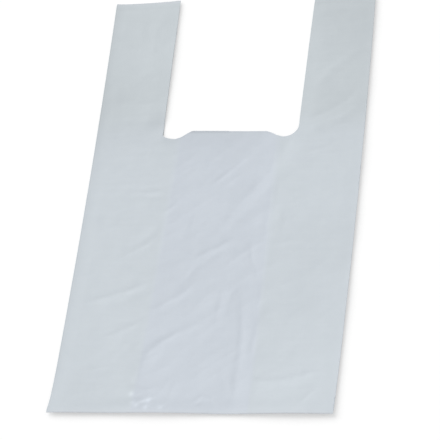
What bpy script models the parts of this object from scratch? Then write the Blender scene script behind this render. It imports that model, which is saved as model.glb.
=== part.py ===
"""Film carrier bag with side gussets and two cut handles, empty and lying flat on its back.

The bag is one piece of film: a blown tube with a pleat tucked in at each side, welded straight
across the bottom. The mouth is cut out between the handles, and each handle's top is welded.
+Y runs from the bottom edge up to the handles and +Z out of the front. The origin is at the
bottom centre of the bag's box. Sizes are metres.
"""

import math

import bmesh
import bpy
from mathutils import Vector

MM = 0.001

# Flat size of the bag
BAG_WIDTH = 300 * MM
BAG_LENGTH = 530 * MM
GUSSET_AT_BOTTOM = 88 * MM
GUSSET_AT_MOUTH = 96 * MM
LEAN_AT_TOP = 11 * MM  # the bag lies in a slight curve, and its top ends up this far to the left

# Cut between the handles
MOUTH_WIDTH = 153 * MM
MOUTH_SHIFT = 1.5 * MM  # the cut sits this far right of the middle
MOUTH_HEIGHT = 348.5 * MM
MOUTH_SLOPE = -0.02
NOTCH_DEPTH = 8 * MM
NOTCH_REACH = 14.5 * MM  # handle's inner edge to the lowest point of the notch
NOTCH_RUNOUT = 20 * MM  # lowest point of the notch to the level edge of the mouth
LEFT_CORNER_RISE = 4.5 * MM
RIGHT_CORNER_RISE = 13 * MM

# Film, its layers and its welds
FILM = 0.2 * MM
LAYER_GAP = 0.4 * MM
BOTTOM_WELD = 4 * MM
HANDLE_WELD = 5 * MM
WELD_SQUEEZE = 0.5  # thickness of a welded edge beside the loose layers next to it

# Loft of the front panel over the layers below it
PUFF = 1.4 * MM  # height that trapped air gives the middle of the bag
HANDLE_PUFF = 0.9 * MM
SIDE_FADE = 28 * MM  # the loft grows over this distance from a side fold
END_FADE = 26 * MM  # and over this distance from a weld

# Creases of the front panel. Each has its share of CREASE_HEIGHT, negative for a valley, its
# share of CREASE_REACH, and the points that it runs through: thousandths of the bag's width
# from the middle line and thousandths of its length from the bottom edge.
CREASE_HEIGHT = 1 * MM
CREASE_REACH = 10 * MM  # half the width of a crease
CREASES = (
    (1.8, 1.1, ((273, 675), (187, 579), (110, 500), (17, 413), (-40, 370))),
    (-1.2, 1.0, ((120, 426), (40, 385), (-97, 347))),
    (1.5, 1.1, ((7, 372), (-73, 306), (-167, 234))),
    (1.3, 0.9, ((-193, 298), (-347, 279), (-493, 255))),
    (-1.1, 1.0, ((-173, 415), (-260, 389), (-347, 355))),
    (-1.0, 0.9, ((-160, 487), (-233, 415))),
    (1.3, 1.0, ((7, 226), (-103, 185), (-193, 136), (-200, 75))),
    (1.0, 0.9, ((-220, 215), (-353, 162))),
    (-1.2, 1.1, ((147, 589), (57, 581), (-53, 506))),
    (1.0, 1.0, ((-400, 521), (-180, 502))),
    (-1.2, 1.0, ((173, 75), (307, 75), (447, 87))),
    (1.2, 0.9, ((347, 15), (427, 57))),
    (1.4, 1.1, ((267, 747), (353, 804), (480, 868))),
    (1.4, 1.0, ((247, 653), (347, 691), (467, 743))),
    (1.4, 1.6, ((-493, 777), (-373, 792), (-253, 774))),
)

# How finely the film is divided
HANDLE_CELLS = 7  # across a handle
CORNER_CELLS = 4  # round the outer half of a notch
RUNOUT_CELLS = 2  # notch to gusset fold to level edge
MOUTH_CELLS = 9  # across the level edge
BODY_ROWS = 36
HANDLE_ROWS = 16

# Values that follow from the sizes above
TURN = (FILM + LAYER_GAP) / 2  # half the distance between neighbouring layers
SIDE = BAG_WIDTH / 2 - FILM / 2  # middle line to the film's middle at a side fold
FRONT = 3  # level of the front panel; the back panel is level 0, the gusset's halves 2 and 1
HANDLE_TOP = BAG_LENGTH - HANDLE_WELD


def smooth(share):
    share = min(max(share, 0.0), 1.0)
    return share * share * (3 - 2 * share)


def blend(start, end, share):
    return start + (end - start) * share


def lean(y):
    """Sideways place of the middle line at a distance from the bottom edge."""
    return -LEAN_AT_TOP * (y / BAG_LENGTH) ** 2


def handle_edge(side):
    """Inner edge of the handle on one side, -1 for left and 1 for right."""
    return MOUTH_SHIFT + side * MOUTH_WIDTH / 2


def mouth_edge(s):
    """Distance from the bottom edge to the cut edge, at a distance s from the middle line."""
    off_centre = s - MOUTH_SHIFT
    inward = max(MOUTH_WIDTH / 2 - abs(off_centre), 0.0)
    lowest = MOUTH_HEIGHT - NOTCH_DEPTH
    if inward < NOTCH_REACH:
        corner_rise = LEFT_CORNER_RISE if off_centre < 0 else RIGHT_CORNER_RISE
        run = 1 - inward / NOTCH_REACH
        height = lowest + corner_rise * (1 - math.sqrt(1 - run * run))
    else:
        height = lowest + NOTCH_DEPTH * smooth((inward - NOTCH_REACH) / NOTCH_RUNOUT)
    held = min(max(s, handle_edge(-1)), handle_edge(1))
    return height + MOUTH_SLOPE * held


def fold_at_mouth(side):
    return side * (BAG_WIDTH / 2 - GUSSET_AT_MOUTH)


def fold_at_bottom(side):
    return side * (BAG_WIDTH / 2 - GUSSET_AT_BOTTOM)


def spread(start, end, cells):
    """The points that divide a stretch into equal cells, without its first point."""
    return [blend(start, end, (i + 1) / cells) for i in range(cells)]


def half_columns(side):
    """Places of the lines along one half of the film where they meet the mouth, from the side in."""
    edge = handle_edge(side)
    notch = edge - side * NOTCH_REACH
    level = notch - side * NOTCH_RUNOUT
    fold = fold_at_mouth(side) + side * TURN
    columns = [side * (SIDE - TURN)]
    columns += spread(columns[0], edge, HANDLE_CELLS)
    for i in range(1, CORNER_CELLS + 1):
        angle = math.pi / 2 * (1 - i / CORNER_CELLS)
        columns.append(notch + side * NOTCH_REACH * math.sin(angle))
    columns.append(fold)
    return columns + spread(fold, level, RUNOUT_CELLS)


def film_columns():
    """Places of the lines along the film, at the mouth and at the bottom, from left to right."""
    left = half_columns(-1)
    right = half_columns(1)
    mouth = left + spread(left[-1], right[-1], MOUTH_CELLS)[:-1] + right[::-1]
    fold = HANDLE_CELLS + CORNER_CELLS + 1
    left_fold = fold_at_bottom(-1) - TURN
    right_fold = fold_at_bottom(1) + TURN
    bottom = [mouth[0]] + spread(mouth[0], left_fold, fold)
    bottom += spread(left_fold, right_fold, len(mouth) - 1 - 2 * fold)
    bottom += spread(right_fold, mouth[-1], fold)
    return mouth, bottom


MOUTH_COLUMNS, BOTTOM_COLUMNS = film_columns()
LAST = len(MOUTH_COLUMNS) - 1
CORNER = HANDLE_CELLS  # column where the left handle's inner edge meets the mouth
FOLD = HANDLE_CELLS + CORNER_CELLS + 1  # column of the left gusset's inner fold
LEVEL = FOLD + RUNOUT_CELLS  # column where the mouth's level edge starts

# The columns that a hidden layer needs: its sides and the lines that meet the cut edge's curves
PLAIN = [0] + list(range(CORNER, LEVEL + 1)) + list(range(LAST - LEVEL, LAST - CORNER + 1)) + [LAST]


def film_loop():
    """The film once round the tube, as (level, column) pairs.

    It starts on the front panel at the left. A pair with a half level is the tip of a fold.
    """
    loop = [(3, i) for i in range(LAST + 1)]
    right_gusset = [i for i in PLAIN if i >= LAST - FOLD]
    left_gusset = [i for i in PLAIN if i <= FOLD]
    loop += [(2.5, LAST)] + [(2, i) for i in reversed(right_gusset)]
    loop += [(1.5, LAST - FOLD)] + [(1, i) for i in right_gusset]
    loop += [(0.5, LAST)] + [(0, i) for i in reversed(PLAIN)]
    loop += [(0.5, 0)] + [(1, i) for i in left_gusset]
    loop += [(1.5, FOLD)] + [(2, i) for i in reversed(left_gusset)]
    return loop + [(2.5, 0)]


LOOP = film_loop()


def side_of(column):
    return -1 if column <= LAST / 2 else 1


def crease_point(mark):
    """Place of a crease's point, from its thousandths of the bag's width and length."""
    return Vector((mark[0] / 1000 * BAG_WIDTH, mark[1] / 1000 * BAG_LENGTH))


def crease_height(s, y):
    """Height that the creases add to the front panel."""
    here = Vector((s, y))
    total = 0.0
    for height, reach, marks in CREASES:
        points = [crease_point(mark) for mark in marks]
        half_width = reach * CREASE_REACH
        length = sum((b - a).length for a, b in zip(points, points[1:]))
        nearest = half_width
        at = 0.0
        passed = 0.0
        for a, b in zip(points, points[1:]):
            run = b - a
            share = min(max((here - a).dot(run) / run.length_squared, 0.0), 1.0)
            away = (here - a - run * share).length
            if away < nearest:
                nearest = away
                at = passed + run.length * share
            passed += run.length
        from_end = min(at, length - at) / length
        across = math.cos(math.pi / 2 * nearest / half_width) ** 2
        total += height * CREASE_HEIGHT * across * smooth(0.25 + 3 * from_end)
    return total


def loft(s, y):
    """Height of the front panel above the layers below it."""
    from_side = (BAG_WIDTH / 2 - abs(s)) / SIDE_FADE
    from_weld = min(y - BOTTOM_WELD, HANDLE_TOP - y) / END_FADE
    on_handle = smooth((y - MOUTH_HEIGHT) / (4 * END_FADE))
    puff = blend(PUFF, HANDLE_PUFF, on_handle)
    return max(puff + crease_height(s, y), 0.0) * smooth(from_side) * smooth(from_weld)


def height_of(level, column, s, y):
    """Height of the film's middle above the ground."""
    if level < FRONT:
        return FILM / 2 + 2 * TURN * level
    past_fold = min(column, LAST - column) - FOLD
    layers_below = 3 if past_fold <= 0 else 1
    return FILM / 2 + 2 * TURN * layers_below + loft(s, y)


def film_place(level, column, share, on_handle):
    """Middle of the film, with s from the middle line and y from the bottom edge.

    share runs from the bottom weld to the mouth, or along a handle from the mouth to its weld.
    """
    side = side_of(column)
    s = MOUTH_COLUMNS[column]
    if on_handle:
        y = blend(mouth_edge(handle_edge(side)), HANDLE_TOP, share)
    else:
        y = blend(BOTTOM_WELD, mouth_edge(s), share)
        s = blend(BOTTOM_COLUMNS[column], s, share)
    if level == 1.5:
        s -= side * TURN
    elif level != int(level):
        s += side * TURN
    return s, y, height_of(level, column, s, y)


def film_side(level, column):
    """Direction in which the bag's outer face lies from the middle of the film."""
    if level == int(level):
        return Vector((0, 0, 1 if level in (3, 1) else -1))
    return Vector((side_of(column), 0, 0))


def add_skins(mesh):
    """Vertices of the film's outer and inner faces, keyed by row and by place in the loop."""
    outer = {}
    inner = {}
    for row in range(BODY_ROWS + HANDLE_ROWS + 1):
        on_handle = row > BODY_ROWS
        share = (row - BODY_ROWS) / HANDLE_ROWS if on_handle else row / BODY_ROWS
        for k, (level, column) in enumerate(LOOP):
            if on_handle and min(column, LAST - column) > CORNER:
                continue
            s, y, z = film_place(level, column, share, on_handle)
            middle = Vector((s + lean(y), y, z))
            half = film_side(level, column) * FILM / 2
            outer[row, k] = mesh.verts.new(middle + half)
            inner[row, k] = mesh.verts.new(middle - half)
    return outer, inner


def on_one_handle(row, k, after):
    """Whether the film between two neighbours in the loop goes on up from this row."""
    return row < BODY_ROWS or side_of(LOOP[k][1]) == side_of(LOOP[after][1])


def add_film(mesh, outer, inner):
    """Both faces of the film, joined along every cut edge."""
    count = len(LOOP)
    for row in range(BODY_ROWS + HANDLE_ROWS):
        for k in range(count):
            after = (k + 1) % count
            if (row + 1, k) in outer and (row + 1, after) in outer and on_one_handle(row, k, after):
                for skin in (outer, inner):
                    mesh.faces.new((skin[row, k], skin[row, after], skin[row + 1, after], skin[row + 1, k]))
            elif row == BODY_ROWS:
                add_rim(mesh, outer, inner, (row, k), (row, after))
    for row in range(BODY_ROWS, BODY_ROWS + HANDLE_ROWS):
        for k, (level, column) in enumerate(LOOP):
            if min(column, LAST - column) == CORNER:
                add_rim(mesh, outer, inner, (row, k), (row + 1, k))


def add_rim(mesh, outer, inner, start, end):
    mesh.faces.new((outer[start], outer[end], inner[end], inner[start]))


def add_strip(mesh, upper, lower):
    """Triangles between two rows of vertices that run the same way and may share their ends."""
    i = 0
    j = 0
    way = 1 if upper[-1].co.x + lower[-1].co.x > upper[0].co.x + lower[0].co.x else -1
    while i < len(upper) - 1 or j < len(lower) - 1:
        upper_next = i < len(upper) - 1
        if upper_next and j < len(lower) - 1:
            upper_next = way * (upper[i + 1].co.x - lower[j + 1].co.x) <= 0
        corners = [upper[i], lower[j]]
        if upper_next:
            i += 1
            corners.append(upper[i])
        else:
            j += 1
            corners.append(lower[j])
        if len(set(corners)) == 3:
            mesh.faces.new(corners)


def add_weld(mesh, top, bottom, left, right, end_y):
    """Welded edge between the ends of the layers and an end of the bag.

    top and bottom are rows of vertices from left to right. left and right are the vertices
    between their ends, from the top down.
    """
    rows = []
    for row in (top, bottom):
        end = []
        for x, y, z in (vertex.co for vertex in row):
            end.append(mesh.verts.new((x + lean(end_y) - lean(y), end_y, z * WELD_SQUEEZE)))
        for i in range(len(row) - 1):
            mesh.faces.new((row[i], row[i + 1], end[i + 1], end[i]))
        rows.append(end)
    tips = []
    for place, stack, bulge in ((0, left, -TURN), (-1, right, TURN)):
        middle = (rows[0][place].co + rows[1][place].co) / 2
        tip = mesh.verts.new(middle + Vector((bulge, 0, 0)))
        chain = [rows[0][place], top[place]] + stack + [bottom[place], rows[1][place]]
        for above, below in zip(chain, chain[1:]):
            mesh.faces.new((above, below, tip))
        tips.append(tip)
    add_strip(mesh, [tips[0]] + rows[0] + [tips[1]], [tips[0]] + rows[1] + [tips[1]])


class Row:
    """Vertices of one row across the film, found by level and column."""

    def __init__(self, outer, inner, row):
        self.skins = {"outer": outer, "inner": inner}
        self.row = row

    def at(self, skin, level, columns):
        return [self.skins[skin][self.row, LOOP.index((level, i))] for i in columns]


def add_gap_ends(mesh, row, columns, plain, fold):
    """Ends of the gaps between the layers of one gusset or handle, from its side fold inwards.

    fold lists the column of the gusset's inner fold, and is empty on a handle.
    """
    side = columns[:1]
    add_strip(
        mesh,
        row.at("inner", 2.5, side) + row.at("inner", 3, columns),
        row.at("inner", 2.5, side) + row.at("inner", 2, plain) + row.at("inner", 1.5, fold),
    )
    add_strip(
        mesh,
        row.at("outer", 2, plain) + row.at("outer", 1.5, fold),
        row.at("outer", 1, plain) + row.at("outer", 1.5, fold),
    )
    add_strip(
        mesh,
        row.at("inner", 0.5, side) + row.at("inner", 1, plain) + row.at("inner", 1.5, fold),
        row.at("inner", 0.5, side) + row.at("inner", 0, plain),
    )


def add_bottom(mesh, outer, inner):
    """Bottom weld, with the ends of the bag's inside and of both side pockets."""
    row = Row(outer, inner, 0)
    folds = (FOLD, LAST - FOLD)
    inside = range(FOLD + 1, LAST - FOLD)
    for fold, way in zip(folds, (1, -1)):
        reach = range(0, FOLD + 1) if way > 0 else range(LAST, LAST - FOLD - 1, -1)
        plain = [i for i in reach if i in PLAIN]
        add_gap_ends(mesh, row, list(reach), plain, [fold])
        tip = row.at("inner", 1.5, [fold])
        add_strip(mesh, row.at("inner", 3, [fold, fold + way]), tip)
        add_strip(mesh, tip, row.at("inner", 0, [fold, fold + way]))
    ends = [row.at("inner", 1.5, [fold]) for fold in folds]
    add_strip(
        mesh,
        ends[0] + row.at("inner", 3, inside) + ends[1],
        ends[0] + row.at("inner", 0, [i for i in inside if i in PLAIN]) + ends[1],
    )
    sides = [[row.at("outer", level, [i])[0] for level in (2.5, 2, 1, 0.5)] for i in (0, LAST)]
    top = row.at("outer", 3, range(LAST + 1))
    bottom = row.at("outer", 0, PLAIN)
    add_weld(mesh, top, bottom, sides[0], sides[1], 0.0)


def add_handle_top(mesh, outer, inner, side):
    """Weld at the top of one handle, with the ends of the gaps between its layers."""
    row = Row(outer, inner, BODY_ROWS + HANDLE_ROWS)
    columns = list(range(CORNER + 1)) if side < 0 else list(range(LAST, LAST - CORNER - 1, -1))
    plain = [columns[0], columns[-1]]
    add_gap_ends(mesh, row, columns, plain, [])
    fold = [row.at("outer", level, columns[:1])[0] for level in (2.5, 2, 1, 0.5)]
    cut_levels = (("inner", 3), ("inner", 2), ("outer", 2), ("outer", 1), ("inner", 1), ("inner", 0))
    cut = [row.at(skin, level, columns[-1:])[0] for skin, level in cut_levels]
    top = row.at("outer", 3, sorted(columns))
    bottom = row.at("outer", 0, sorted(plain))
    stacks = (fold, cut) if side < 0 else (cut, fold)
    add_weld(mesh, top, bottom, stacks[0], stacks[1], BAG_LENGTH)


def film_material():
    """Thin white polyethylene film, milky and slightly glossy."""
    material = bpy.data.materials.new("white_film")
    material.use_nodes = True
    shader = material.node_tree.nodes["Principled BSDF"]
    shader.inputs["Base Color"].default_value = (0.62, 0.65, 0.70, 1.0)
    shader.inputs["Roughness"].default_value = 0.45
    shader.inputs["Metallic"].default_value = 0.0
    return material


def make_bag():
    mesh = bmesh.new()
    outer, inner = add_skins(mesh)
    add_film(mesh, outer, inner)
    add_bottom(mesh, outer, inner)
    add_handle_top(mesh, outer, inner, -1)
    add_handle_top(mesh, outer, inner, 1)
    bmesh.ops.recalc_face_normals(mesh, faces=mesh.faces)
    centre = Vector((lean(BAG_LENGTH) / 2, BAG_LENGTH / 2, 0))
    bmesh.ops.translate(mesh, verts=mesh.verts, vec=-centre)
    data = bpy.data.meshes.new("carrier_bag")
    mesh.to_mesh(data)
    mesh.free()
    data.materials.append(film_material())
    bag = bpy.data.objects.new("carrier_bag", data)
    bpy.context.scene.collection.objects.link(bag)
    return bag


for old in list(bpy.data.objects):
    bpy.data.objects.remove(old)
make_bag()
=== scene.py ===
import math

import bpy
import numpy as np
from mathutils import Matrix, Vector, noise


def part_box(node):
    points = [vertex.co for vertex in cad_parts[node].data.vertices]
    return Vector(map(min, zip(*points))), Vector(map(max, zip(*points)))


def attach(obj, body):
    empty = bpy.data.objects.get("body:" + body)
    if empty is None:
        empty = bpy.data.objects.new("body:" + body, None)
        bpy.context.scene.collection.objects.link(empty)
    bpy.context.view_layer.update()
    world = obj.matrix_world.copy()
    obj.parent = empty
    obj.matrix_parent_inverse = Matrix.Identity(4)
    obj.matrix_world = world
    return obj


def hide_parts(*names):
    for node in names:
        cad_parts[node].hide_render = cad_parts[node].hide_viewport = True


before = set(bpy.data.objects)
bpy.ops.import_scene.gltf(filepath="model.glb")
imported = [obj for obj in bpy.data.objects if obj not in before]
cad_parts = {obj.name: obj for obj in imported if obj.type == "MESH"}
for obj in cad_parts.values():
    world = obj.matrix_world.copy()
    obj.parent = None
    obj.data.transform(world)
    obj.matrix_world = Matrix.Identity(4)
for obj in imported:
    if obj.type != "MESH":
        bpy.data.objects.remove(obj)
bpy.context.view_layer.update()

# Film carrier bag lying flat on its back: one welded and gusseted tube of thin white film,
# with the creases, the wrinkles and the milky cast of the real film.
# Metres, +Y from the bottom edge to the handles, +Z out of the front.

MM = 0.001
LOW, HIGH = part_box("carrier_bag")

# Flat shape, within 4 mm of the CAD's
LEAN_AT_TOP = 11 * MM
BAG_LENGTH = HIGH[1] - LOW[1]
BAG_WIDTH = HIGH[0] - LOW[0] - LEAN_AT_TOP
MIDDLE_X = (HIGH[0] + LOW[0] + LEAN_AT_TOP) / 2
BOTTOM_Y = LOW[1]
GUSSET_AT_BOTTOM = 88 * MM
GUSSET_AT_MOUTH = 96 * MM
MOUTH_WIDTH = 151.1 * MM
MOUTH_SHIFT = 1.35 * MM
MOUTH_HEIGHT = 349.8 * MM
MOUTH_SLOPE = -0.028
RUNOUT = 20 * MM  # over which the cut edge levels out beyond a notch
# Notch beside the left and the right handle: depth, reach from the handle's edge, and the height
# through which its corner rises
NOTCHES = {-1: (10.9 * MM, 14.5 * MM, 5 * MM), 1: (7.4 * MM, 16.5 * MM, 15 * MM)}
# The bottom left corner spreads by this much, over this height
CORNER_SPREAD = (1.3 * MM, 22 * MM)
# The right handle's inner edge is drawn in: how far at its top, from what height on, and the
# exponent of its curve
NARROWING = (3.7 * MM, 352 * MM, 1.5)
BOTTOM_WELD = 4 * MM
HANDLE_WELD = 5 * MM
WELD_SQUEEZE = 0.5  # height of a weld's outer end, as a share of the layers beside it

# Film and gaps, thinner than in the CAD
FILM = 0.08 * MM
LAYER_GAP = 0.1 * MM
TURN = (FILM + LAYER_GAP) / 2
SIDE = BAG_WIDTH / 2 - FILM / 2
HANDLE_TOP = BAG_LENGTH - HANDLE_WELD

# How finely the film is divided
HANDLE_CELLS = 40
CORNER_CELLS = 8
RUNOUT_CELLS = 6
MOUTH_CELLS = 48
BODY_ROWS = 200
HANDLE_ROWS = 100
TOP_ROW = BODY_ROWS + HANDLE_ROWS
CORNER = HANDLE_CELLS  # column at a handle's cut edge
FOLD = HANDLE_CELLS + CORNER_CELLS + 1  # column at a gusset's inner fold
LEVEL = FOLD + RUNOUT_CELLS  # column where the cut edge runs level again
HIDDEN_STEP = 4  # a hidden layer has only each fourth row
HIDDEN_COLUMNS = 6  # and each sixth column, with all those at the cut edge's curves
SHARP_ANGLE = 38  # degrees, from which an edge between faces looks sharp

# Loft of the front panel over the layers below it
PUFF = 1.2 * MM  # in the middle
SIDE_FADE = 75 * MM  # from the sides in, over which it grows to that
EDGE_PUFF = 0.45 * MM  # near the sides
EDGE_FADE = 18 * MM  # from the sides in, over which that sets in
END_FADE = 16 * MM  # the same from the welds
HANDLE_PUFF = 0.9 * MM
HANDLE_FADE = 80 * MM  # height over which the body's loft gives way to the handles'
MOUTH_LOFT = 0.6  # share of the loft that is left at the mouth
MOUTH_FADE = (30 * MM, 12 * MM)  # how far that reaches down, and how soon it sets in sideways
SOFT_FLOOR = 0.2 * MM  # how gently the front comes down onto the layers below
CUT_SQUEEZE = 0.8  # how much lower the front lies along the handles' cut edges
CUT_FADE = 20 * MM
CUT_START = (5 * MM, 15 * MM)  # how far below the mouth's edge that starts, and over what height
STEP_FADE = 20 * MM  # over which the front comes down beside a gusset
STEP_LINE = (0.10 * MM, 1.6 * MM)  # ridge over a gusset's inner fold: height and half width
CRINKLE_START = (2 * MM, 5 * MM)  # where crinkles start above the bottom edge, and over what height

# How far the stack of layers lifts off the floor: height at the edge and reach inwards
RIGHT_LIFT = (4.6 * MM, 85 * MM)
BOTTOM_LIFT = (5.2 * MM, 75 * MM)
LEFT_LIFT = (0.8 * MM, 14 * MM)
HANDLE_LIFT = (3.7 * MM, 70 * MM)  # at the left handle's cut edge
HANDLE_LIFT_START = 30 * MM  # height above the mouth over which that sets in
LIFT_CURVE = 2.2  # exponent with which a lift dies down inwards
LIFT_WAVE = (0.8, 0.35, 70 * MM, 9.1)  # mean share of the lift, its swing, the waves' size, a seed

CREASE_SHARE = 0.88  # of the heights below
CREASE_REACH = 0.95  # of the widths below
WANDER = (1.3 * MM, 17 * MM)  # how far a crease's line strays, and over what distance
UNEVEN = (0.55, 16 * MM)  # how much its height varies, and over what distance
UNEVEN_LIMITS = (0.15, 1.6)
END_SHARE = 0.25  # share of a crease's height that is left at its ends
END_RISE = 1 / 3.5  # share of its length over which it rises from either end

# Smooth noise of the front: height and size of its features
BROAD_NOISE = (0.55 * MM, 95 * MM)
MIDDLE_NOISE = (0.17 * MM, 30 * MM)
FINE_NOISE = (0.014 * MM, 8 * MM)
NOISE_SEEDS = {
    "wander_s": 1, "wander_y": 2, "broad": 3, "middle": 4, "crumple": 5,
    "fine": 6, "uneven": 8, "fine_crumple": 9, "ripple": 10,
}
SEED_STEP = 7.31  # distance between the slices of noise that two seeds pick
NOISE_FALL = 1.0  # exponent with which each finer octave is weaker
NOISE_STEP = 2.0  # how many times finer it is

# Crumpled noise of the front: height and size of its facets, along and across the slant
CRUMPLE = (0.36 * MM, 46 * MM, 17 * MM)
CRUMPLE_SLANT = 40  # degrees, from the right handle down to the left
FINE_CRUMPLE = (0.11 * MM, 19 * MM, 8 * MM)
GUSSET_SHARE = (0.45, 0.4)  # share of the coarse and the fine facets that is left on the gussets
VALLEY_ROUND = 0.004  # how round the bottoms of the valleys are
FACET_MEAN = 0.35  # taken off both sets of facets together
# A second, coarser set of facets: its share, step of seed, shift, and stretch
SECOND_SHARE = 0.6
SECOND_SEED = 20
SECOND_SHIFT = (0.31, 0.17)
SECOND_STRETCH = (0.8, 1.3)
RIPPLE = (0.08 * MM, 45 * MM, 7 * MM)  # ripples across the gussets: height, length, width
GUSSET_FADE = 12 * MM  # past a gusset's inner fold, over which its look sets in

# Creases that can be made out on the front: height, negative for a valley, the width that it
# fades over towards the lower right and towards the upper left, and the points of the line from
# its upper or right end, all in millimetres from the middle line and from the bottom edge
CREASES = (
    (-0.30, 6.0, 6.0, ((78, 348), (64, 323), (54, 303), (42, 284), (29, 265), (15, 244), (0, 217))),
    (0.48, 12.0, 8.0, (
        (87, 341), (77, 318), (67, 300), (56, 281), (45, 264), (33, 248), (20, 231), (9, 212))),
    (-0.52, 4.5, 4.5, ((26, 212), (12, 205), (2, 199), (-12, 191), (-24, 182))),
    (0.42, 8.0, 5.0, ((28, 203), (12, 197), (-3, 187), (-14, 177), (-24, 164), (-36, 150))),
    (-0.34, 5.0, 4.5, ((-14, 159), (-25, 146), (-37, 136), (-50, 127), (-63, 123))),
    (0.22, 6.0, 5.0, ((-18, 142), (-30, 131), (-42, 123), (-56, 116))),
    (-0.50, 6.0, 4.5, ((-60, 160), (-72, 154), (-85, 148), (-98, 143), (-116, 137), (-138, 134))),
    (0.34, 10.0, 7.0, ((-66, 148), (-78, 142), (-92, 134), (-114, 126))),
    (0.34, 6.0, 7.0, ((-60, 232), (-68, 219), (-80, 209), (-98, 200))),
    (-0.24, 4.0, 4.0, ((-62, 213), (-76, 203), (-90, 194), (-104, 188))),
    (-0.52, 5.5, 4.5, (
        (-6, 105), (-24, 96), (-34, 91), (-44, 84), (-53, 75), (-57, 62), (-57, 48), (-55, 38))),
    (0.25, 8.0, 6.0, ((-22, 84), (-36, 74), (-44, 60), (-46, 44))),
    (-0.40, 5.0, 4.0, ((-66, 111), (-80, 101), (-92, 96), (-106, 90))),
    (0.32, 8.0, 6.0, ((-68, 86), (-78, 75), (-88, 62))),
    (-0.46, 4.5, 3.2, ((20, 310), (12, 301), (3, 292), (-7, 284), (-13, 278))),
    (0.22, 6.0, 4.0, ((48, 312), (32, 311), (18, 307))),
    (0.34, 4.0, 4.0, ((-57, 267), (-78, 265), (-90, 266), (-104, 264))),
    (-0.24, 3.0, 3.0, ((-60, 272), (-84, 271), (-104, 270))),
    (0.20, 4.0, 3.5, ((-62, 279), (-90, 276), (-118, 277))),
    (-0.52, 9.0, 3.6, ((36, 150), (39, 120), (42, 96), (43, 70), (43, 48), (47, 6))),
    (0.18, 8.0, 6.0, ((47, 112), (51, 84), (56, 52), (60, 10))),
    (-0.34, 4.5, 4.0, ((19, 158), (17, 146), (14, 120), (12, 102))),
    (0.24, 5.0, 4.5, ((31, 156), (28, 146), (24, 130), (22, 112))),
    (-0.36, 4.0, 4.0, ((-43, 264), (-52, 252), (-61, 243))),
    (-0.55, 3.2, 3.0, ((59, 160), (58, 143), (58, 126))),
    (-0.42, 4.0, 3.2, ((60, 112), (58, 92), (56, 66))),
    (-0.44, 7.0, 7.0, ((64, 284), (59, 262), (56, 238), (53, 212), (51, 194))),
    (0.32, 9.0, 6.0, ((69, 252), (66, 230), (63, 204))),
    (-0.58, 5.5, 3.5, ((138, 47), (120, 48), (104, 44), (92, 40), (74, 39), (54, 41))),
    (0.30, 9.0, 6.0, ((134, 36), (104, 34), (82, 28), (54, 24))),
    (-0.40, 4.0, 4.0, ((132, 30), (120, 19), (108, 4))),
    (0.40, 13.0, 6.5, ((148, 456), (134, 449), (121, 441), (109, 429), (98, 414), (86, 402))),
    (-0.12, 8.0, 8.0, ((147, 438), (126, 430), (109, 414), (96, 398))),
    (0.50, 10.0, 6.0, ((146, 388), (132, 369), (115, 359), (98, 353), (80, 346))),
    (-0.44, 6.0, 6.0, ((140, 402), (128, 387), (114, 376), (98, 368), (82, 361))),
    (-0.26, 3.5, 3.0, ((114, 325), (106, 325), (92, 319))),
    (0.20, 3.5, 3.0, ((-79, 316), (-89, 327), (-104, 317))),
    (0.22, 3.5, 3.0, ((-35, 301), (-46, 292))),
    (0.18, 3.5, 3.0, ((-95, 251), (-112, 244))),
    (-0.38, 4.0, 3.6, ((38, 215), (42, 188), (50, 170), (53, 156))),
    (-0.22, 3.5, 3.0, ((84, 206), (60, 202))),
    (-0.18, 4.0, 3.0, ((-88, 56), (-126, 50))),
    (0.24, 5.0, 4.0, ((-97, 505), (-99, 480), (-100, 440))),
    (0.16, 5.0, 5.0, ((-116, 506), (-112, 440))),
    (-0.32, 4.0, 4.0, ((-18, 42), (-20, 28), (-24, 14), (-27, 4))),
    (-0.24, 3.0, 2.5, ((-26, 40), (-34, 22))),
    (-0.22, 3.5, 3.0, ((26, 54), (37, 24))),
    (0.18, 3.0, 3.0, ((-30, 244), (-34, 210))),
    (-0.16, 3.0, 3.0, ((-25, 242), (-29, 212))),
    (0.16, 3.0, 3.0, ((-14, 240), (-18, 212))),
    (-0.30, 9.0, 9.0, ((-76, 386), (-112, 392), (-150, 388))),
    (0.30, 9.0, 9.0, ((-78, 360), (-112, 366), (-150, 362))),
)

# Small sharp crinkles where the bottom weld was gripped
CRINKLES = (
    (-0.38, 1.9, 2.0, ((2, 12), (10, 21), (22, 18), (26, 9))),
    (0.30, 1.8, 2.0, ((5, 9), (13, 15), (20, 11))),
    (0.45, 1.6, 2.0, ((-64, 25), (-58, 18), (-50, 21))),
    (-0.40, 1.6, 2.0, ((-66, 16), (-56, 12), (-49, 15), (-42, 11))),
    (0.45, 1.5, 1.8, ((-54, 9), (-46, 13), (-39, 16))),
    (0.36, 1.5, 1.8, ((-60, 5), (-53, 8), (-50, 4))),
    (-0.34, 1.6, 1.8, ((-47, 24), (-42, 18), (-37, 22))),
    (0.32, 1.5, 1.8, ((-35, 8), (-29, 6), (-24, 9))),
    (-0.30, 2.0, 2.2, ((-70, 47), (-65, 32), (-50, 27), (-38, 30))),
)

# Soft patches of painted light and shade, where the film is painted lighter or greyer: the change,
# the place in millimetres from the middle line and from the bottom edge, and how far it reaches each way
PAINTED_LIGHT_PATCHES = (
    (-0.070, 0, 385, 400, 42),
    (-0.130, 128, 537, 60, 62),
    (-0.060, -112, 513, 60, 50),
    (-0.038, -152, 365, 22, 60),
    (-0.038, 148, 465, 18, 55),
    (0.032, 78, 385, 18, 45),
    (0.032, -76, 366, 16, 24),
    (-0.034, 125, 205, 50, 42),
    (0.026, 68, 250, 22, 75),
    (-0.024, -25, 338, 45, 16),
    (0.030, -45, 86, 50, 32),
    (0.035, 108, 30, 58, 50),
    (-0.026, -125, 26, 34, 22),
)
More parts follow.
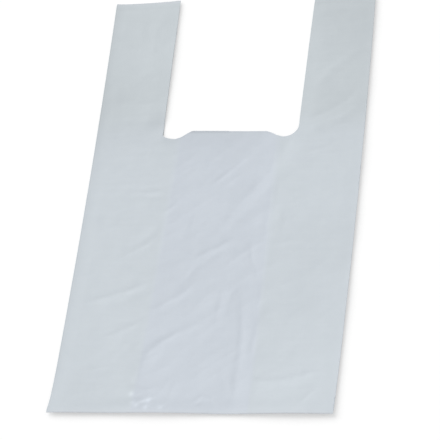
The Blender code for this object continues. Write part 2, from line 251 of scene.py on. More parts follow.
# Small painted glints where the bottom weld was gripped, light specks that stand for glints on its
# crinkles, and one darker streak of painted shade, in the same form
PAINTED_GLINT_SPECKS = (
    (0.16, -63, 22, 1.9, 2.0),
    (0.22, -44, 15, 2.0, 2.2),
    (0.10, -49, 14, 1.6, 1.4),
    (0.12, -56, 9, 1.6, 1.8),
    (0.15, -46, 7, 1.5, 2.2),
    (0.12, -30, 6, 1.7, 1.4),
    (0.08, -60, 12, 1.8, 1.6),
    (0.05, 16, 14, 4.0, 3.0),
    (-0.035, -62, 31, 8.0, 3.0),
)
# More changes of tone, mostly painted shade and highlight, each with where it starts or how wide it is,
# and how far it fades over
HANDLE_PAINTED_SHADE = (-0.022, 330 * MM, 60 * MM)  # painted shade, darker up the handles
LEFT_FOLD_PAINTED_SHADE = (-0.06, 2.2 * MM)  # painted shade along the left side fold
SEAL_TONE = (-0.07, 1.6 * MM, 1 * MM)  # along the handles' welded tops
SEAL_LINE = (SEAL_TONE[0] / 3, 8 * MM, 0.9 * MM)  # thin line this far below them
MOUTH_PAINTED_SHADOW = (-0.045, 2.5 * MM, 2 * MM, 4 * MM)  # painted shadow line along the cut edge, with a fade at its ends
SEAL_REACH = (4.5 * MM, 5 * MM)  # how far the look of a weld reaches in from bottom and top
SEAL_FADE = 1.5 * MM
EDGE_PAINTED_SHADOW = (-0.30, 0.6 * MM, 1.2 * MM)  # painted shadow line at both ends: tone, and where it fades out
# Painted highlight line over the gussets' inner folds: change, width, middle height and reach
GUSSET_PAINTED_HIGHLIGHT = (0.022, 1.2 * MM, 230 * MM, 100.9 * MM)

# Where more layers lie under the front the film looks a little warmer: share of the warmer
# colour over the gussets, and on the handles
GUSSET_WARMTH = 0.5
HANDLE_WARMTH = 0.78
HANDLE_BLEND = (335 * MM, 50 * MM)  # where the change between them starts, and its length
FOLD_BLEND = 2 * MM  # width of the change at a gusset's inner fold

# Seeded faint wrinkles between the creases that can be made out, in millimetres and degrees,
# as the limits of each value, or its mean and spread for the two directions
WRINKLE_COUNT = 110
WRINKLE_SEED = 7
WRINKLE_S = (-140, 140)
WRINKLE_Y = (10, 515)
SLANTED = (48, 28)
NEARLY_LEVEL = (2, 12)
LEVEL_SHARE = 0.22
WRINKLE_LENGTH = (14, 62)
WRINKLE_BOW = (-0.12, 0.12)  # of the length
WRINKLE_HEIGHT = (0.03, 0.10)
WRINKLE_WIDTH = (1.8, 4.2)
RIDGE_SHARE = 0.4  # the others are valleys


def smooth(share):
    share = np.clip(share, 0.0, 1.0)
    return share * share * (3 - 2 * share)


def blend(start, end, share):
    return start + (end - start) * share


def lean(y):
    """Sideways place of the middle line at a distance from the bottom edge."""
    return -LEAN_AT_TOP * (y / BAG_LENGTH) ** 2


def handle_edge(side):
    return MOUTH_SHIFT + side * MOUTH_WIDTH / 2


def mouth_edge(s):
    """Distance from the bottom edge to the cut edge, at a distance s from the middle line."""
    off_centre = s - MOUTH_SHIFT
    inward = max(MOUTH_WIDTH / 2 - abs(off_centre), 0.0)
    depth, reach, corner_rise = NOTCHES[-1 if off_centre < 0 else 1]
    lowest = MOUTH_HEIGHT - depth
    if inward < reach:
        run = 1 - inward / reach
        height = lowest + corner_rise * (1 - math.sqrt(1 - run * run))
    else:
        height = lowest + depth * smooth((inward - reach) / RUNOUT)
    held = min(max(s, handle_edge(-1)), handle_edge(1))
    return height + MOUTH_SLOPE * held


def spread(start, end, cells):
    """The points that divide a stretch into equal cells, without its first point."""
    return [blend(start, end, (i + 1) / cells) for i in range(cells)]


def half_columns(side):
    """Places of the lines along one half of the film where they meet the mouth, from the side in."""
    edge = handle_edge(side)
    reach = NOTCHES[side][1]
    notch = edge - side * reach
    level = notch - side * RUNOUT
    fold = side * (BAG_WIDTH / 2 - GUSSET_AT_MOUTH + TURN)
    columns = [side * (SIDE - TURN)]
    columns += spread(columns[0], edge, HANDLE_CELLS)
    for i in range(1, CORNER_CELLS + 1):
        angle = math.pi / 2 * (1 - i / CORNER_CELLS)
        columns.append(notch + side * reach * math.sin(angle))
    columns.append(fold)
    return columns + spread(fold, level, RUNOUT_CELLS)


def film_columns():
    """Places of the lines along the film, at the mouth and at the bottom, from left to right."""
    left = half_columns(-1)
    right = half_columns(1)
    mouth = left + spread(left[-1], right[-1], MOUTH_CELLS)[:-1] + right[::-1]
    left_fold = -(BAG_WIDTH / 2 - GUSSET_AT_BOTTOM) - TURN
    right_fold = -left_fold
    bottom = [mouth[0]] + spread(mouth[0], left_fold, FOLD)
    bottom += spread(left_fold, right_fold, len(mouth) - 1 - 2 * FOLD)
    bottom += spread(right_fold, mouth[-1], FOLD)
    return mouth, bottom


MOUTH_COLUMNS, BOTTOM_COLUMNS = film_columns()
LAST = len(MOUTH_COLUMNS) - 1


def from_side(column):
    """How many columns lie between this one and the nearer side."""
    return min(column, LAST - column)


def is_plain(column):
    """Whether the hidden layers have this column too."""
    return CORNER <= from_side(column) <= LEVEL or from_side(column) % HIDDEN_COLUMNS == 0


PLAIN = [i for i in range(LAST + 1) if is_plain(i)]


def film_loop():
    """The film once round the tube, as (level, column) pairs; a half level is a fold's tip."""
    loop = [(3, i) for i in range(LAST + 1)]
    right_gusset = [i for i in PLAIN if i >= LAST - FOLD]
    left_gusset = [i for i in PLAIN if i <= FOLD]
    loop += [(2.5, LAST)] + [(2, i) for i in reversed(right_gusset)]
    loop += [(1.5, LAST - FOLD)] + [(1, i) for i in right_gusset]
    loop += [(0.5, LAST)] + [(0, i) for i in reversed(PLAIN)]
    loop += [(0.5, 0)] + [(1, i) for i in left_gusset]
    loop += [(1.5, FOLD)] + [(2, i) for i in reversed(left_gusset)]
    return loop + [(2.5, 0)]


FOLD_LEVELS = (2.5, 2, 1, 0.5)  # outer vertices down a side, between the front and the back
LOOP = film_loop()
PLACE_IN_LOOP = {pair: k for k, pair in enumerate(LOOP)}


def side_of(column):
    return -1 if column <= LAST / 2 else 1


def noise_at(s, y, scale, seed, octaves=3):
    """Smooth noise of about -1 to 1 at every point, with features of the given size."""
    flat_s = np.ravel(s) / scale
    flat_y = np.ravel(y) / scale
    values = [
        noise.fractal(Vector((a, b, seed * SEED_STEP)), NOISE_FALL, NOISE_STEP, octaves)
        for a, b in zip(flat_s, flat_y)
    ]
    return np.array(values).reshape(np.shape(s))


def crease_field(s, y, creases):
    """Height that a list of creases adds, with lines that run a little unevenly."""
    wander_s = WANDER[0] * noise_at(s, y, WANDER[1], NOISE_SEEDS["wander_s"])
    wander_y = WANDER[0] * noise_at(s, y, WANDER[1], NOISE_SEEDS["wander_y"])
    strength = 1 + UNEVEN[0] * noise_at(s, y, UNEVEN[1], NOISE_SEEDS["uneven"], octaves=2)
    strength = np.clip(strength, *UNEVEN_LIMITS)
    here = np.stack([s + wander_s, y + wander_y], axis=-1) / MM
    total = np.zeros(np.shape(s))
    for height, low_width, high_width, points in creases:
        points = [np.array(p, float) for p in points]
        runs = [b - a for a, b in zip(points, points[1:])]
        lengths = [float(np.hypot(*run)) for run in runs]
        nearest = np.full(np.shape(s), np.inf)
        turned = np.zeros(np.shape(s))
        along = np.zeros(np.shape(s))
        passed = 0.0
        for a, run, length in zip(points, runs, lengths):
            way = run / length
            offset = here - a
            share = np.clip((offset @ way) / length, 0.0, 1.0)
            away = offset - share[..., None] * run
            distance = np.hypot(away[..., 0], away[..., 1])
            closer = distance < nearest
            nearest = np.where(closer, distance, nearest)
            cross = way[0] * offset[..., 1] - way[1] * offset[..., 0]
            turned = np.where(closer, cross, turned)
            along = np.where(closer, passed + share * length, along)
            passed += length
        width = CREASE_REACH * np.where(turned > 0, low_width, high_width)
        across = 1 / (1 + (nearest / width) ** 2) ** 2
        from_end = np.minimum(along, passed - along) / passed
        total += height * across * blend(END_SHARE, 1.0, smooth(from_end / END_RISE))
    return total * strength * MM * CREASE_SHARE


def crumpled(s, y, size, seed):
    """Facets with sharp valleys between them, longer along the slant than across it."""
    height, along, across = size
    turn = math.radians(CRUMPLE_SLANT)
    u = s * math.cos(turn) + y * math.sin(turn)
    v = y * math.cos(turn) - s * math.sin(turn)
    u = u / along * across
    first = noise_at(u, v, across, seed, octaves=1)
    second_u = u + SECOND_SHIFT[0]
    second_v = v * SECOND_STRETCH[0] + SECOND_SHIFT[1]
    second = noise_at(second_u, second_v, across * SECOND_STRETCH[1], seed + SECOND_SEED, octaves=1)
    facets = np.sqrt(first ** 2 + VALLEY_ROUND) + SECOND_SHARE * np.sqrt(second ** 2 + VALLEY_ROUND)
    return height * (facets - FACET_MEAN)


def wrinkles():
    """Faint wrinkles, most of them on the slant that the pull on the right handle gives."""
    pick = np.random.RandomState(WRINKLE_SEED)
    made = []
    for _ in range(WRINKLE_COUNT):
        s = pick.uniform(*WRINKLE_S)
        y = pick.uniform(*WRINKLE_Y)
        angle = math.radians(pick.normal(*SLANTED))
        if pick.uniform() < LEVEL_SHARE:
            angle = math.radians(pick.normal(*NEARLY_LEVEL))
        length = pick.uniform(*WRINKLE_LENGTH)
        bow = pick.uniform(*WRINKLE_BOW) * length
        way = np.array((math.cos(angle), math.sin(angle)))
        across = np.array((-way[1], way[0]))
        middle = np.array((s, y))
        points = [middle - way * length / 2, middle + across * bow, middle + way * length / 2]
        height = pick.uniform(*WRINKLE_HEIGHT) * (1 if pick.uniform() < RIDGE_SHARE else -1)
        low_width, high_width = pick.uniform(*WRINKLE_WIDTH, 2)
        made.append((height, low_width, high_width, points))
    return made


def front_puff(s, y):
    """Smooth loft of the front panel away from its edges, lower at the mouth and on the handles."""
    in_mouth = np.maximum(MOUTH_WIDTH / 2 - np.abs(s - MOUTH_SHIFT), 0.0)
    below_cut = MOUTH_HEIGHT - y
    near_mouth = smooth(1 - below_cut / MOUTH_FADE[0]) * smooth(in_mouth / MOUTH_FADE[1])
    near_mouth = np.where(below_cut > 0, near_mouth, 0.0)
    on_handle = smooth(-below_cut / HANDLE_FADE)
    return blend(PUFF, HANDLE_PUFF, on_handle) * blend(1.0, MOUTH_LOFT, near_mouth)


def front_texture(s, y):
    """Uneven heights all over the front: smooth noise, facets, and ripples on the gussets."""
    in_gusset = smooth((np.abs(s) - gusset_fold(y)) / GUSSET_FADE)
    total = np.zeros(np.shape(s))
    for (height, size), name, octaves in ((MIDDLE_NOISE, "middle", 3), (FINE_NOISE, "fine", 2)):
        total += height * noise_at(s, y, size, NOISE_SEEDS[name], octaves)
    for size, name, share in zip((CRUMPLE, FINE_CRUMPLE), ("crumple", "fine_crumple"), GUSSET_SHARE):
        total += crumpled(s, y, size, NOISE_SEEDS[name]) * blend(1.0, share, in_gusset)
    height, along, across = RIPPLE
    ripple = noise_at(s / along * across, y, across, NOISE_SEEDS["ripple"], octaves=2)
    return total + height * ripple * in_gusset


def front_loft(s, y):
    """Height of the front panel above the layers below it."""
    from_edge = BAG_WIDTH / 2 - np.abs(s)
    inside = smooth(from_edge / SIDE_FADE)
    from_weld = smooth(np.minimum(y - BOTTOM_WELD, HANDLE_TOP - y) / END_FADE)
    broad = BROAD_NOISE[0] * noise_at(s, y, BROAD_NOISE[1], NOISE_SEEDS["broad"])
    height = EDGE_PUFF + (front_puff(s, y) - EDGE_PUFF + broad) * inside + front_texture(s, y)
    height += crease_field(s, y, CREASES) + crease_field(s, y, wrinkles())
    height = (height + np.hypot(height, SOFT_FLOOR)) / 2 * smooth(from_edge / EDGE_FADE) * from_weld
    beside_cut = np.abs(np.abs(s - MOUTH_SHIFT) - MOUTH_WIDTH / 2)
    above = smooth((y - MOUTH_HEIGHT + CUT_START[0]) / CUT_START[1])
    height *= 1 - CUT_SQUEEZE * above * (1 - smooth(beside_cut / CUT_FADE))
    from_bottom = smooth((y - CRINKLE_START[0]) / CRINKLE_START[1])
    return np.maximum(height + crease_field(s, y, CRINKLES) * from_bottom * inside, 0.0)


def edge_lift(distance, lift):
    """Lift at a distance inwards from an edge."""
    height, reach = lift
    return height * max(1 - distance / reach, 0.0) ** LIFT_CURVE


def stack_lift(s, y):
    """How far all the layers lift off the floor near the bag's free edges."""
    mean, swing, size, seed = LIFT_WAVE
    wave = mean + swing * noise.noise(Vector((s / size, y / size, seed)))
    lifts = [
        edge_lift(BAG_WIDTH / 2 - s, RIGHT_LIFT),
        edge_lift(BAG_WIDTH / 2 + s, LEFT_LIFT),
        edge_lift(y, BOTTOM_LIFT),
    ]
    if s < 0:
        above = smooth((y - MOUTH_HEIGHT) / HANDLE_LIFT_START)
        lifts.append(above * edge_lift(handle_edge(-1) - s, HANDLE_LIFT))
    return math.hypot(*lifts) * wave


def film_place(level, column, share, on_handle):
    """Middle of the film, with s from the middle line and y from the bottom edge."""
    side = side_of(column)
    s = MOUTH_COLUMNS[column]
    if on_handle:
        y = blend(mouth_edge(handle_edge(side)), HANDLE_TOP, share)
        if side > 0:
            most, start, curve = NARROWING
            drawn_in = most * max((y - start) / (HANDLE_TOP - start), 0.0) ** curve
            s += drawn_in * (SIDE - s) / (SIDE - handle_edge(1))
    else:
        y = blend(BOTTOM_WELD, mouth_edge(s), share)
        s = blend(BOTTOM_COLUMNS[column], s, share)
        if side < 0:
            most, height = CORNER_SPREAD
            s += s / SIDE * most * max(1 - y / height, 0.0) ** 2
    if level == 1.5:
        s -= side * TURN
    elif level != int(level):
        s += side * TURN
    return s, y


def film_side(level, column):
    """Direction in which the bag's outer face lies from the middle of the film."""
    if level == int(level):
        return np.array((0.0, 0.0, 1.0 if level in (3, 1) else -1.0))
    return np.array((float(side_of(column)), 0.0, 0.0))


def gusset_fold(y):
    """Distance of a gusset's inner fold from the middle line."""
    share = y / MOUTH_HEIGHT
    return BAG_WIDTH / 2 - blend(GUSSET_AT_BOTTOM, GUSSET_AT_MOUTH, share)


class Film:
    """Vertices and faces of the bag as they are added."""

    def __init__(self):
        self.points = []
        self.faces = []
        self.outer = {}
        self.inner = {}

    def point(self, place):
        self.points.append(place)
        return len(self.points) - 1

    def at(self, skin, row, level, columns):
        """Vertices of one skin in a row, at a level, for each of the columns."""
        found = self.outer if skin == "outer" else self.inner
        return [found[row, PLACE_IN_LOOP[level, i]] for i in columns]


def rows_of(k, low, high):
    """Rows in which a place of the loop has vertices."""
    step = 1 if LOOP[k][0] == 3 else HIDDEN_STEP
    return range(low, high + 1, step)


def add_skins(film):
    """Vertices of the film's outer and inner faces."""
    places = {}
    for k, (level, column) in enumerate(LOOP):
        top = TOP_ROW if from_side(column) <= CORNER else BODY_ROWS
        for row in rows_of(k, 0, top):
            on_handle = row > BODY_ROWS
            share = (row - BODY_ROWS) / HANDLE_ROWS if on_handle else row / BODY_ROWS
            places[row, k] = film_place(level, column, share, on_handle)
    front = [key for key in places if LOOP[key[1]][0] == 3]
    s = np.array([places[key][0] for key in front])
    y = np.array([places[key][1] for key in front])
    heights = dict(zip(front, front_loft(s, y)))
    for key, (s, y) in places.items():
        level, column = LOOP[key[1]]
        z = FILM / 2 + 2 * TURN * level
        if level == 3:
            past_fold = gusset_fold(y) - abs(s)
            step = 1 - smooth((past_fold - TURN) / STEP_FADE)
            line = STEP_LINE[0] * math.exp(-((past_fold / STEP_LINE[1]) ** 2))
            z = FILM / 2 + 2 * TURN * (1 + 2 * step) + heights[key] + line
        z += stack_lift(s, y)
        middle = np.array((s + lean(y), y, z))
        half = film_side(level, column) * FILM / 2
        film.outer[key] = film.point(middle + half)
        film.inner[key] = film.point(middle - half)


def add_strip(film, first, second, axis=0):
    """Triangles between two rows of vertices that run the same way and may share their ends."""
    i = 0
    j = 0
    place = {v: film.points[v][axis] for v in (*first, *second)}
    way = 1 if place[first[-1]] + place[second[-1]] > place[first[0]] + place[second[0]] else -1
    while i < len(first) - 1 or j < len(second) - 1:
        first_next = i < len(first) - 1
        if first_next and j < len(second) - 1:
            first_next = way * (place[first[i + 1]] - place[second[j + 1]]) <= 0
        corners = [first[i], second[j]]
        if first_next:
            i += 1
            corners.append(first[i])
        else:
            j += 1
            corners.append(second[j])
        if len(set(corners)) == 3:
            film.faces.append(corners)


def add_ribbon(film, k, after, low, high):
    """Both faces of the film between two neighbours in the loop."""
    for skin in (film.outer, film.inner):
        first = [skin[row, k] for row in rows_of(k, low, high)]
        second = [skin[row, after] for row in rows_of(after, low, high)]
        if len(first) != len(second):
            add_strip(film, first, second, axis=1)
            continue
        for i in range(len(first) - 1):
            film.faces.append((first[i], second[i], second[i + 1], first[i + 1]))


def add_rim(film, start, end):
    """Face that closes a stretch of a cut edge between both faces of the film."""
    film.faces.append((film.outer[start], film.outer[end], film.inner[end], film.inner[start]))


def add_film(film):
    """Both faces of the film, joined along every cut edge."""
    for k, (_, column) in enumerate(LOOP):
        after = (k + 1) % len(LOOP)
        next_column = LOOP[after][1]
        add_ribbon(film, k, after, 0, BODY_ROWS)
        if max(from_side(column), from_side(next_column)) > CORNER:
            add_rim(film, (BODY_ROWS, k), (BODY_ROWS, after))
        else:
            add_ribbon(film, k, after, BODY_ROWS, TOP_ROW)
        if from_side(column) == CORNER:
            rows = list(rows_of(k, BODY_ROWS, TOP_ROW))
            for row, above in zip(rows, rows[1:]):
                add_rim(film, (row, k), (above, k))


def add_weld(film, top, bottom, left, right, end_y):
    """Welded edge between the ends of the layers and an end of the bag.

    top and bottom are rows of vertices from left to right. left and right are the vertices
    between their ends, from the top down.
    """
    rows = []
    for row in (top, bottom):
        end = []
        for x, y, z in [film.points[i] for i in row]:
            s = x - lean(y)
            end_z = (z - stack_lift(s, y)) * WELD_SQUEEZE + stack_lift(s, end_y)
            end.append(film.point(np.array((s + lean(end_y), end_y, end_z))))
        for i in range(len(row) - 1):
            film.faces.append((row[i], row[i + 1], end[i + 1], end[i]))
        rows.append(end)
    tips = []
    for place, stack, bulge in ((0, left, -TURN), (-1, right, TURN)):
        middle = (film.points[rows[0][place]] + film.points[rows[1][place]]) / 2
        tip = film.point(middle + np.array((bulge, 0, 0)))
        chain = [rows[0][place], top[place]] + stack + [bottom[place], rows[1][place]]
        for above, below in zip(chain, chain[1:]):
            film.faces.append((above, below, tip))
        tips.append(tip)
    add_strip(film, [tips[0]] + rows[0] + [tips[1]], [tips[0]] + rows[1] + [tips[1]])


def add_gap_ends(film, row, columns, plain, fold):
    """Ends of the gaps between the layers of one gusset or handle, from its side fold inwards."""
    side = columns[:1]
    at = film.at
    add_strip(
        film,
        at("inner", row, 2.5, side) + at("inner", row, 3, columns),
        at("inner", row, 2.5, side) + at("inner", row, 2, plain) + at("inner", row, 1.5, fold),
    )
    add_strip(
        film,
        at("outer", row, 2, plain) + at("outer", row, 1.5, fold),
        at("outer", row, 1, plain) + at("outer", row, 1.5, fold),
    )
    add_strip(
        film,
        at("inner", row, 0.5, side) + at("inner", row, 1, plain) + at("inner", row, 1.5, fold),
        at("inner", row, 0.5, side) + at("inner", row, 0, plain),
    )


def add_bottom(film):
    """Bottom weld, with the ends of the bag's inside and of both side pockets."""
    folds = (FOLD, LAST - FOLD)
    inside = range(FOLD + 1, LAST - FOLD)
    for fold, way in zip(folds, (1, -1)):
        reach = range(0, FOLD + 1) if way > 0 else range(LAST, LAST - FOLD - 1, -1)
        plain = [i for i in reach if i in PLAIN]
        add_gap_ends(film, 0, list(reach), plain, [fold])
        tip = film.at("inner", 0, 1.5, [fold])
        add_strip(film, film.at("inner", 0, 3, [fold, fold + way]), tip)
        add_strip(film, tip, film.at("inner", 0, 0, [fold, fold + way]))
    ends = [film.at("inner", 0, 1.5, [fold]) for fold in folds]
    add_strip(
        film,
        ends[0] + film.at("inner", 0, 3, inside) + ends[1],
        ends[0] + film.at("inner", 0, 0, [i for i in inside if i in PLAIN]) + ends[1],
    )
    sides = [[film.at("outer", 0, level, [i])[0] for level in FOLD_LEVELS] for i in (0, LAST)]
    top = film.at("outer", 0, 3, range(LAST + 1))
    add_weld(film, top, film.at("outer", 0, 0, PLAIN), sides[0], sides[1], 0.0)


def add_handle_top(film, side):
    """Weld at the top of one handle, with the ends of the gaps between its layers."""
    columns = list(range(CORNER + 1)) if side < 0 else list(range(LAST, LAST - CORNER - 1, -1))
    plain = [i for i in columns if i in PLAIN]
    add_gap_ends(film, TOP_ROW, columns, plain, [])
    fold = [film.at("outer", TOP_ROW, level, columns[:1])[0] for level in FOLD_LEVELS]
    cut_levels = (("inner", 3), ("inner", 2), ("outer", 2), ("outer", 1), ("inner", 1), ("inner", 0))
    cut = [film.at(skin, TOP_ROW, level, columns[-1:])[0] for skin, level in cut_levels]
    top = film.at("outer", TOP_ROW, 3, sorted(columns))
    bottom = film.at("outer", TOP_ROW, 0, sorted(plain))
    stacks = (fold, cut) if side < 0 else (cut, fold)
    add_weld(film, top, bottom, stacks[0], stacks[1], BAG_LENGTH)


def soft_patches(s, y, patches):
    """Sum of soft changes of tone, each strongest at its own place; here painted light, shade and
    glints.
    """
    total = np.zeros(np.shape(s))
    for change, at_s, at_y, reach_s, reach_y in patches:
        away = ((s / MM - at_s) / reach_s) ** 2 + ((y / MM - at_y) / reach_y) ** 2
        total += change * np.exp(-away / 2)
    return total


def zone_values(points):
    """For each vertex: how warm the film looks there, whether it is in a weld, and its tone, which is
    mostly painted light and shade.
    """
    y = points[:, 1]
    s = points[:, 0] - lean(y)
    from_top = BAG_LENGTH - y
    past_fold = np.abs(s) - gusset_fold(y)
    on_handle = smooth((y - HANDLE_BLEND[0]) / HANDLE_BLEND[1])
    warm = blend(smooth(past_fold / FOLD_BLEND + 0.5) * GUSSET_WARMTH, HANDLE_WARMTH, on_handle)
    weld = [smooth((reach - away) / SEAL_FADE) for reach, away in zip(SEAL_REACH, (y, from_top))]
    # Painted shade: darker up the handles
    change, start, fade = HANDLE_PAINTED_SHADE
    tone = change * smooth((y - start) / fade)
    # Painted shade along the left side fold
    change, fade = LEFT_FOLD_PAINTED_SHADE
    tone += change * (1 - smooth((s + BAG_WIDTH / 2) / fade))
    change, start, fade = SEAL_TONE
    tone += change * smooth((start - from_top) / fade)
    change, at_height, width = SEAL_LINE
    tone += change * np.exp(-(((from_top - at_height) / width) ** 2))
    # Painted shadow line along the mouth's cut edge
    change, start, fade, end_fade = MOUTH_PAINTED_SHADOW
    in_mouth = smooth((MOUTH_WIDTH / 2 - np.abs(s)) / end_fade)
    tone += change * smooth((y - MOUTH_HEIGHT + start) / fade) * in_mouth
    # Painted highlight over the gussets' inner folds
    change, width, at_height, reach = GUSSET_PAINTED_HIGHLIGHT
    tone += change * np.exp(-((past_fold / width) ** 2) - ((y - at_height) / reach) ** 4)
    # Painted light and shade in soft patches, and painted glints and shade by the bottom weld
    tone += soft_patches(s, y, PAINTED_LIGHT_PATCHES + PAINTED_GLINT_SPECKS)
    return {"warmth": warm, "weld_zone": np.maximum(*weld), "tone": tone}


def make_bag():
    film = Film()
    add_skins(film)
    add_film(film)
    add_bottom(film)
    add_handle_top(film, -1)
    add_handle_top(film, 1)
    points = np.array(film.points)
    zones = zone_values(points)
    placed = points + (MIDDLE_X, BOTTOM_Y, LOW[2])
    data = bpy.data.meshes.new("film_bag")
    data.from_pydata(placed.tolist(), [], [tuple(f) for f in film.faces])
    bag = bpy.data.objects.new("film_bag", data)
    bpy.context.scene.collection.objects.link(bag)
    for name, values in zones.items():
        layer = data.attributes.new(name, "FLOAT", "POINT")
        layer.data.foreach_set("value", values.astype(np.float32))
    bpy.context.view_layer.objects.active = bag
    bag.select_set(True)
    bpy.ops.object.mode_set(mode="EDIT")
    bpy.ops.mesh.select_all(action="SELECT")
    bpy.ops.mesh.normals_make_consistent(inside=False)
    bpy.ops.object.mode_set(mode="OBJECT")
    bag.select_set(False)
    data.shade_smooth()
    data.set_sharp_from_angle(angle=math.radians(SHARP_ANGLE))
    return bag


class Nodes:
    """Adds nodes to a material's or the world's tree with short calls."""

    def __init__(self, owner, shader):
        owner.use_nodes = True
        self.tree = owner.node_tree
        self.shader = self.tree.nodes[shader]

    def add(self, kind, inputs=(), **settings):
        node = self.tree.nodes.new("ShaderNode" + kind)
        for name, value in settings.items():
            setattr(node, name, value)
        for name, value in dict(inputs).items():
            if isinstance(value, bpy.types.NodeSocket):
                self.tree.links.new(value, node.inputs[name])
            else:
                node.inputs[name].default_value = value
        return node

    def maths(self, operation, a, b=0.5, clamp=False):
        return self.add("Math", {0: a, 1: b}, operation=operation, use_clamp=clamp).outputs[0]

    def mix(self, share, a, b):
        """Colour between a and b, through the node's colour sockets 6, 7 and 2."""
        return self.add("Mix", {"Factor": share, 6: a, 7: b}, data_type="RGBA").outputs[2]

    def map_range(self, value, start, end, low, high):
        inputs = {"Value": value, "From Min": start, "From Max": end, "To Min": low, "To Max": high}
        return self.add("MapRange", inputs).outputs[0]

    def pattern(self, place, scale, **inputs):
        """Smooth noise, finer by the three scales, as a socket of values around 0.5."""
        stretched = self.add("Mapping", {"Vector": place, "Scale": scale}).outputs[0]
        return self.add("TexNoise", {"Vector": stretched, "Scale": 1.0, **inputs}).outputs[0]

    def seen_direct(self):
        """1 for rays that see the surface directly, in a reflection or through glass, 0 for light."""
        path = self.add("LightPath").outputs
        seen = self.maths("ADD", path["Is Camera Ray"], path["Is Glossy Ray"], clamp=True)
        return self.maths("ADD", seen, path["Is Transmission Ray"], clamp=True)

    def connect(self, output, socket):
        self.tree.links.new(output, self.shader.inputs[socket])


THIN_COLOUR = (0.581, 0.630, 0.692)
THICK_COLOUR = (0.581, 0.636, 0.661)
WELD_COLOUR = (0.60, 0.64, 0.69, 1)
WELD_SHARE = 0.6  # how much of the welds' colour shows
TONE_RANGE = 0.2
# Scales of the mottled tone across, along and through the film, and the share of each
STREAKS = ((170.0, 7.0, 1.0), 0.5)
BANDS = ((3.0, 40.0, 1.0), 0.5)
CLOUDS = (14.0, 0.9)
MOTTLING = 0.11
GLOSS = (0.34, 0.46)  # roughness where the grain is low and where it is high
GRAIN_LIMITS = (0.3, 0.7)
WELD_GLOSS = -0.08
RELIEF_SLANT = -42  # degrees
SLANTED_RELIEF = 1.6  # weight of the slanted relief beside the plain one
RELIEF_HEIGHT = 0.1 * MM


def mottled_and_painted_tone(nodes, place):
    """Tone from 0 to 1: mottling, the painted shadow lines along the edges, and the tone attribute with
    its painted light and shade.
    """
    scale, share = CLOUDS
    clouds = nodes.add("TexNoise", {"Vector": place, "Scale": scale, "Detail": 4.0, "Roughness": 0.55})
    tone = nodes.maths("MULTIPLY", nodes.maths("SUBTRACT", clouds.outputs[0], 0.5), share)
    for scale, share in (STREAKS, BANDS):
        swing = nodes.maths("SUBTRACT", nodes.pattern(place, scale, Detail=3.0), 0.5)
        tone = nodes.maths("ADD", tone, nodes.maths("MULTIPLY", swing, share))
    tone = nodes.maths("MULTIPLY", tone, MOTTLING)
    along = nodes.add("SeparateXYZ", {0: place}).outputs["Y"]
    from_middle = nodes.maths("ABSOLUTE", nodes.maths("SUBTRACT", along, BOTTOM_Y + BAG_LENGTH / 2))
    from_end = nodes.maths("SUBTRACT", BAG_LENGTH / 2, from_middle)
    # Painted shadow line along the bottom edge and the handles' tops
    change, full, gone = EDGE_PAINTED_SHADOW
    painted_edge_shadow = nodes.map_range(from_end, full, gone, change, 0.0)
    # The tone attribute: painted light, shade and glints, with the welds' own lines
    painted_light_and_seals = nodes.add("Attribute", attribute_name="tone").outputs["Fac"]
    painted_light_and_seals = nodes.maths("MULTIPLY", nodes.maths("ADD", painted_light_and_seals, painted_edge_shadow), 1 / (2 * TONE_RANGE))
    return nodes.maths("ADD", nodes.maths("ADD", tone, painted_light_and_seals), 0.5, clamp=True)


def film_material():
    """Milky white film: mottled, streaked along its length, slightly glossy, finely crinkled, with
    painted light, shade and glints in its colour.
    """
    material = bpy.data.materials.new("milky_film")
    nodes = Nodes(material, "Principled BSDF")
    place = nodes.add("TexCoord").outputs["Object"]
    tone = mottled_and_painted_tone(nodes, place)
    toned = []
    for colour in (THIN_COLOUR, THICK_COLOUR):
        dark, light = ([c * level for c in colour] + [1] for level in (1 - TONE_RANGE, 1 + TONE_RANGE))
        toned.append(nodes.mix(tone, dark, light))
    warmth = nodes.add("Attribute", attribute_name="warmth").outputs["Fac"]
    weld = nodes.add("Attribute", attribute_name="weld_zone").outputs["Fac"]
    colour = nodes.mix(nodes.maths("MULTIPLY", weld, WELD_SHARE), nodes.mix(warmth, *toned), WELD_COLOUR)
    nodes.connect(colour, "Base Color")
    grain = nodes.add("TexNoise", {"Vector": place, "Scale": 90.0, "Detail": 3.0}).outputs[0]
    rough = nodes.map_range(grain, *GRAIN_LIMITS, *GLOSS)
    nodes.connect(nodes.maths("ADD", rough, nodes.maths("MULTIPLY", weld, WELD_GLOSS)), "Roughness")
    crumple = nodes.add("TexNoise", {"Vector": place, "Scale": 210.0, "Detail": 3.0, "Roughness": 0.5})
    turn = (0.0, 0.0, math.radians(RELIEF_SLANT))
    slant_place = nodes.add("Mapping", {"Vector": place, "Rotation": turn, "Scale": (60.0, 190.0, 1.0)})
    slant = nodes.add("TexNoise", {"Vector": slant_place.outputs[0], "Scale": 1.0, "Detail": 2.0})
    slanted = nodes.maths("MULTIPLY", slant.outputs[0], SLANTED_RELIEF)
    relief = nodes.maths("ADD", crumple.outputs[0], slanted)
    bump = nodes.add("Bump", {"Strength": 0.35, "Distance": RELIEF_HEIGHT, "Height": relief})
    nodes.connect(bump.outputs[0], "Normal")
    nodes.shader.inputs["Metallic"].default_value = 0.0
    nodes.shader.inputs["IOR"].default_value = 1.45
    return material


FLOOR_WHITE = 0.615
FLOOR_GLOW = 0.45  # only where the floor is seen directly, so that it lights nothing
FLOOR_HALF = 2.0
FLOOR_GAP = 0.05 * MM  # how far the floor lies below the bag
SKY = 0.58  # how strongly the surroundings light the bag; seen directly they are at 1
SUN = 1.60
SUN_SPREAD = 66  # degrees, which makes its shadows soft
TO_SUN = Vector((-0.62, 0.52, 0.76))


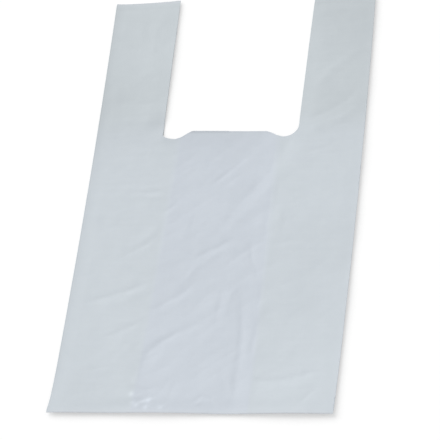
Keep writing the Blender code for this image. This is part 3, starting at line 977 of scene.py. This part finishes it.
def make_floor():
    data = bpy.data.meshes.new("studio_floor")
    z = LOW[2] - FLOOR_GAP
    corners = [(FLOOR_HALF * x, FLOOR_HALF * y, z) for x, y in ((-1, -1), (1, -1), (1, 1), (-1, 1))]
    data.from_pydata(corners, [], [(0, 1, 2, 3)])
    floor = bpy.data.objects.new("studio_floor", data)
    bpy.context.scene.collection.objects.link(floor)
    material = bpy.data.materials.new("studio_white")
    nodes = Nodes(material, "Principled BSDF")
    nodes.shader.inputs["Base Color"].default_value = (FLOOR_WHITE, FLOOR_WHITE, FLOOR_WHITE, 1)
    nodes.shader.inputs["Roughness"].default_value = 0.9
    nodes.shader.inputs["Specular IOR Level"].default_value = 0.0
    nodes.shader.inputs["Emission Color"].default_value = (1, 1, 1, 1)
    nodes.connect(nodes.maths("MULTIPLY", nodes.seen_direct(), FLOOR_GLOW), "Emission Strength")
    data.materials.append(material)


def make_light():
    """White surroundings that light the bag less than they show, and a broad sun."""
    world = bpy.data.worlds.new("studio")
    bpy.context.scene.world = world
    nodes = Nodes(world, "Background")
    nodes.shader.inputs["Color"].default_value = (1, 1, 1, 1)
    nodes.connect(nodes.map_range(nodes.seen_direct(), 0.0, 1.0, SKY, 1.0), "Strength")
    data = bpy.data.lights.new("soft_sun", "SUN")
    data.energy = SUN
    data.angle = math.radians(SUN_SPREAD)
    sun = bpy.data.objects.new("soft_sun", data)
    sun.rotation_mode = "QUATERNION"
    sun.rotation_quaternion = TO_SUN.to_track_quat("Z", "Y")
    bpy.context.scene.collection.objects.link(sun)


def make_camera():
    """Camera fitted to the outline of the bag in the photograph."""
    target = Vector((0.00575, -0.02949, 0.0))
    azimuth = math.radians(26.256)
    elevation = math.radians(53.628)
    roll = math.radians(-22.496)
    distance = 2.7247
    back = Vector((
        math.sin(azimuth) * math.cos(elevation),
        -math.cos(azimuth) * math.cos(elevation),
        math.sin(elevation),
    ))
    right = (-back).cross(Vector((0, 0, 1))).normalized()
    up = right.cross(-back)
    across = math.cos(roll) * right + math.sin(roll) * up
    above = -math.sin(roll) * right + math.cos(roll) * up
    data = bpy.data.cameras.new("camera")
    data.sensor_width = 36
    data.lens = 210.870
    data.clip_end = 50
    camera = bpy.data.objects.new("camera", data)
    turn = Matrix((across, above, back)).transposed().to_4x4()
    camera.matrix_world = Matrix.Translation(target + back * distance) @ turn
    bpy.context.scene.collection.objects.link(camera)
    bpy.context.scene.camera = camera


bag = make_bag()
bag.data.materials.append(film_material())
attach(bag, "root")
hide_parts("carrier_bag")
make_floor()
make_light()
make_camera()
bpy.context.scene.view_settings.view_transform = "Standard"
